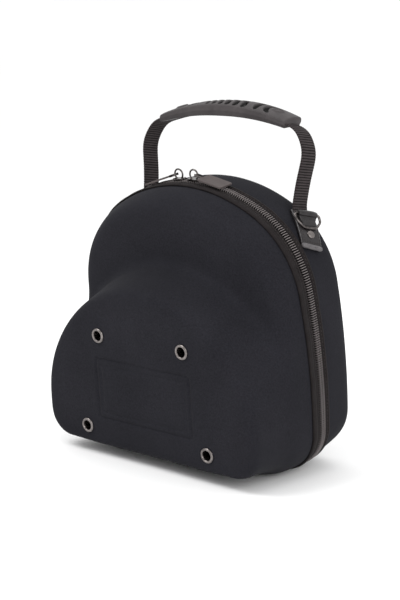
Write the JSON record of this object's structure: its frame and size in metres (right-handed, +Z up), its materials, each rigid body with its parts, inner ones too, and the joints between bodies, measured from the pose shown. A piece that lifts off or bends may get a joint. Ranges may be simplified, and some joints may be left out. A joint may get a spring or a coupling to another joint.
{
  "type": "hat box",
  "caption": "Arched moulded clamshell hat box with a domed front pocket, a zip closure all round and a swinging carrying handle.",
  "frame": {"origin": "middle of the bounding box's base, on the surface the box stands on", "axes": "+Z up, +X to the right seen from the domed front, +Y to the back (away from the domed front)"},
  "size_m": [0.2776, 0.1884, 0.3576],
  "materials": {
    "shell_fabric": "matt brushed jersey bonded to moulded foam",
    "lining_fabric": "smooth knitted lining",
    "binding": "folded grosgrain, slight sheen",
    "zip_tape": "woven tape",
    "zip_coil": "satin nylon coil",
    "hinge_fabric": "woven strip",
    "eyelet_metal": "dark nickel, rolled",
    "fitting_metal": "nickel plated",
    "webbing": "ribbed polyester webbing",
    "tab_leather": "grained, stitched edges",
    "tag_rubber": "satin moulded",
    "grip_rubber": "satin moulded"
  },
  "bodies": {
    "front_half": {"front_shell": "shell_fabric", "front_lining": "lining_fabric", "front_binding": "binding", "front_zip_tape": "zip_tape", "front_zip_coil": "zip_coil", "front_zip_stops": "zip_coil", "eyelet_upper_left": "eyelet_metal", "eyelet_upper_right": "eyelet_metal", "eyelet_lower_left": "eyelet_metal", "eyelet_lower_right": "eyelet_metal", "eyelet_washers": "eyelet_metal", "hinge_strip": "hinge_fabric"},
    "rear_half": {"rear_shell": "shell_fabric", "rear_lining": "lining_fabric", "rear_binding": "binding", "rear_zip_tape": "zip_tape", "rear_zip_coil": "zip_coil", "rear_zip_stops": "zip_coil", "webbing_end_left": "webbing", "webbing_end_right": "webbing", "anchor_patch_left": "tab_leather", "anchor_patch_right": "tab_leather", "anchor_loop_left": "tab_leather", "anchor_loop_right": "tab_leather", "tab_rivet_left": "fitting_metal", "tab_rivet_right": "fitting_metal", "rivet_washer_left": "fitting_metal", "rivet_washer_right": "fitting_metal"},
    "handle": {"handle_webbing": "webbing", "handle_grip": "grip_rubber"},
    "ring_left": {"ring_left": "fitting_metal"},
    "ring_right": {"ring_right": "fitting_metal"},
    "slider_left": {"slider_left": "fitting_metal"},
    "slider_right": {"slider_right": "fitting_metal"},
    "pull_left": {"pull_clasp_left": "fitting_metal", "pull_tag_left": "tag_rubber"},
    "pull_right": {"pull_clasp_right": "fitting_metal", "pull_tag_right": "tag_rubber"}
  },
  "joints": [
    {"name": "case_opening", "type": "hinge", "parent": "front_half", "child": "rear_half", "pos_m": [0, 0.0389, 0.00607], "axis": [-1, 0, 0], "range_deg": [0, 80]},
    {"name": "handle_swing", "type": "hinge", "parent": "rear_half", "child": "handle", "pos_m": [0, 0.02886, 0.27144], "axis": [-1, 0, 0], "range_deg": [-65, 80]},
    {"name": "ring_left_swing", "type": "hinge", "parent": "rear_half", "child": "ring_left", "pos_m": [-0.10776, 0.02454, 0.25476], "axis": [-0.3359, 0.9319, -0.1373], "range_deg": [0, 100]},
    {"name": "ring_right_swing", "type": "hinge", "parent": "rear_half", "child": "ring_right", "pos_m": [0.10776, 0.02454, 0.25476], "axis": [-0.3359, -0.9319, 0.1373], "range_deg": [0, 100]},
    {"name": "slider_left_travel", "type": "hinge", "parent": "front_half", "child": "slider_left", "pos_m": [0, 0.01524, 0.11739], "axis": [0, -0.9781, -0.2079], "range_deg": [0, 20]},
    {"name": "slider_right_travel", "type": "hinge", "parent": "front_half", "child": "slider_right", "pos_m": [0, 0.01524, 0.11739], "axis": [0, 0.9781, 0.2079], "range_deg": [0, 24]},
    {"name": "pull_left_swing", "type": "hinge", "parent": "slider_left", "child": "pull_left", "pos_m": [-0.01917, -0.0205, 0.28549], "axis": [0, 0.9781, 0.2079], "range_deg": [0, 105]},
    {"name": "pull_right_swing", "type": "hinge", "parent": "slider_right", "child": "pull_right", "pos_m": [0.00661, -0.02069, 0.28641], "axis": [0, -0.9781, -0.2079], "range_deg": [0, 105]}
  ]
}
